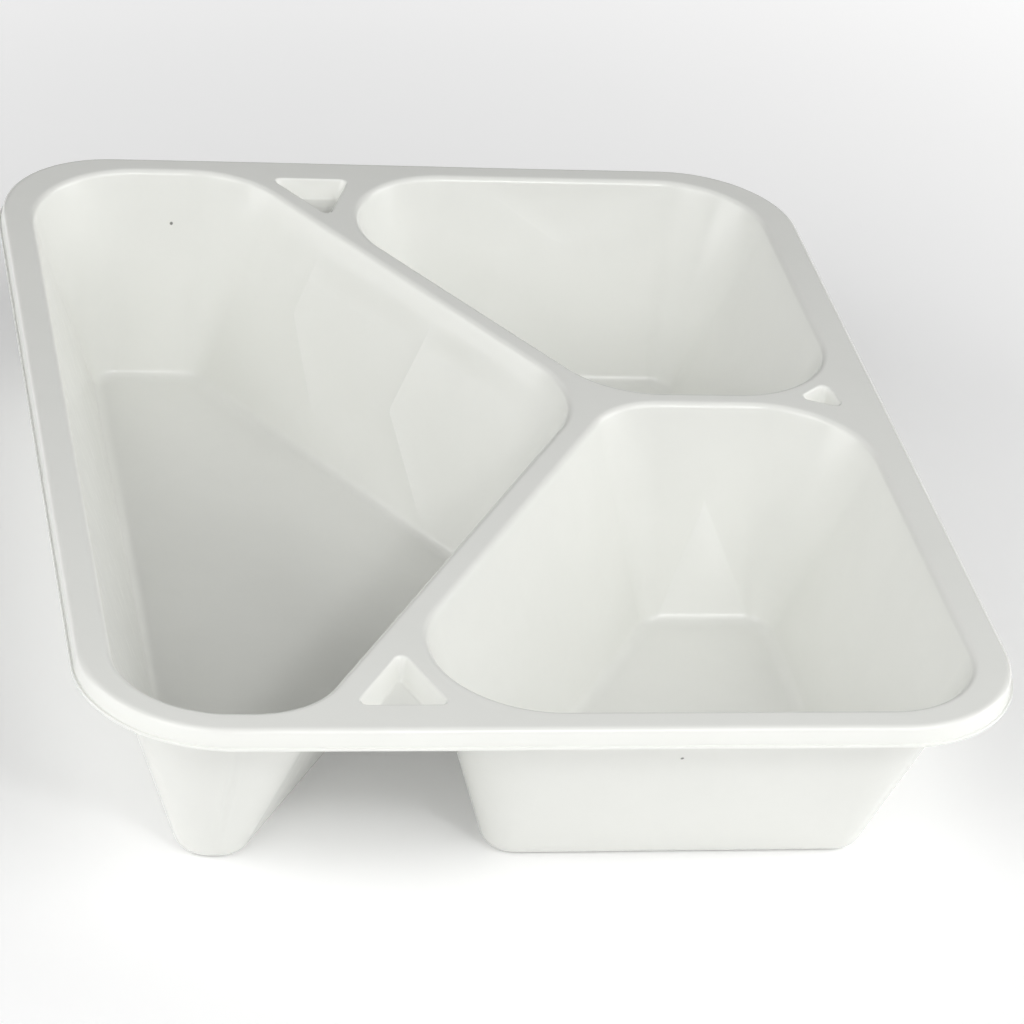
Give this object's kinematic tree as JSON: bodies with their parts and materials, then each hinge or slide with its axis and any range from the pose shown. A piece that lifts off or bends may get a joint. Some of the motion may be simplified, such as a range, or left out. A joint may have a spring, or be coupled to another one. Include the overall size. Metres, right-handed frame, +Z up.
{
  "type": "compartment tray",
  "caption": "White formed plastic tray with separate deep food compartments, Y-shaped dividing webs and a flat sealing deck with a turned-down rim.",
  "frame": {"origin": "centre of the tray in plan, on the underside of the compartment floors", "axes": "+Z up out of the compartments, +Y along the long side towards the rear edge, +X across the tray towards the two smaller compartments"},
  "size_m": [0.178, 0.227, 0.0438],
  "materials": {
    "sheet": "satin"
  },
  "bodies": {
    "root": {"sealing_deck": "sheet", "rim_lip": "sheet", "large_compartment_wall": "sheet", "large_compartment_floor": "sheet", "rear_compartment_wall": "sheet", "rear_compartment_floor": "sheet", "front_compartment_wall": "sheet", "front_compartment_floor": "sheet", "rear_web_pocket": "sheet", "front_web_pocket": "sheet", "side_web_pocket": "sheet"}
  },
  "joints": []
}
